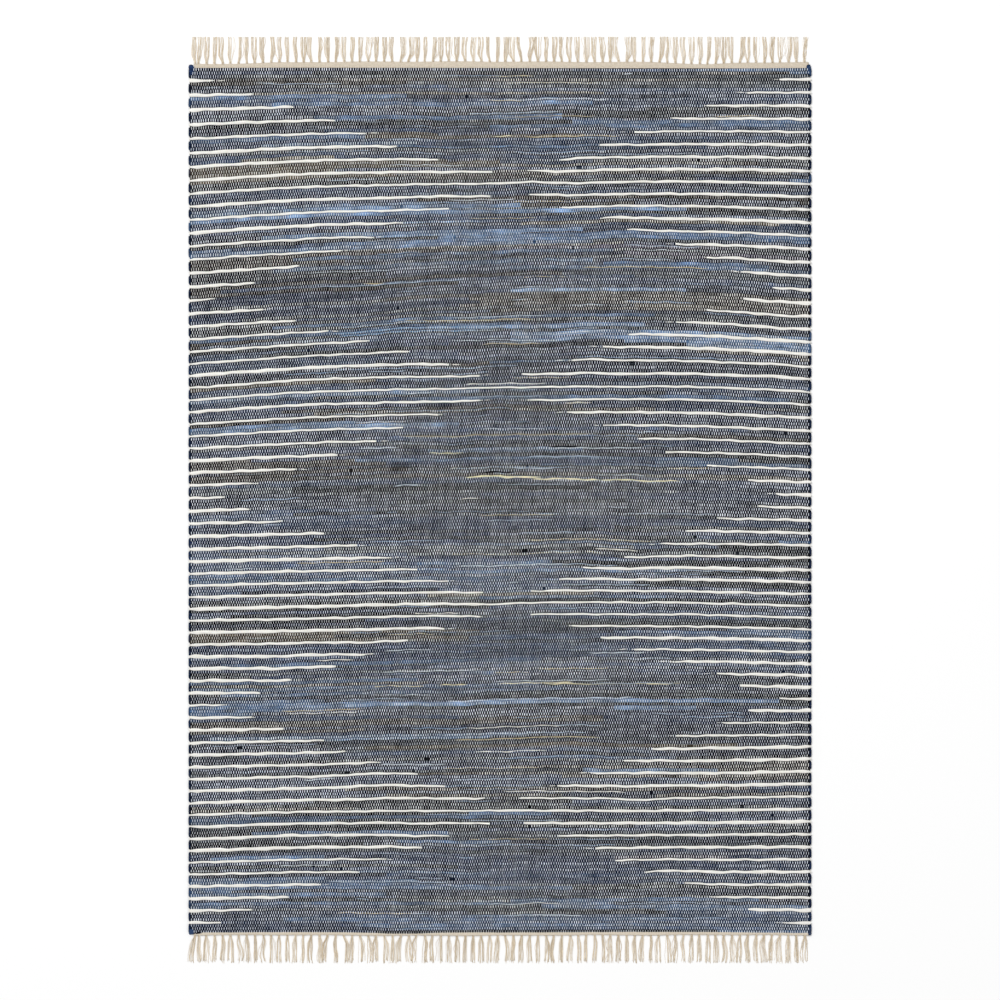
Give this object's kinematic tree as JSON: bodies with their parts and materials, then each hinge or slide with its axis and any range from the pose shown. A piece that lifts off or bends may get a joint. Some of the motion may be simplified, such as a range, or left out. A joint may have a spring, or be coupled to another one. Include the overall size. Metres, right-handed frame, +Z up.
{
  "type": "hand-woven denim rag rug",
  "caption": "Flat hand-woven rag rug with ribs across it, a narrow cotton heading and a fringe of loose locks at each end, for laying on a floor.",
  "frame": {"origin": "under the middle of the rug, on the floor it lies on", "axes": "+X across the rug to the right, +Y along it to the far fringe, +Z up from the floor"},
  "size_m": [1.524, 2.266, 0.006],
  "materials": {
    "denim_rag_weave": "matt woven rags of navy, mid blue, slate and black denim with cream warp dashes and white rag stripes",
    "cream_cotton_far": "matt unbleached cotton yarn",
    "cream_cotton_near": "matt unbleached cotton yarn"
  },
  "bodies": {
    "root": {"woven_field": "denim_rag_weave", "heading_fringe_far": "cream_cotton_far", "heading_fringe_near": "cream_cotton_near"}
  },
  "joints": []
}
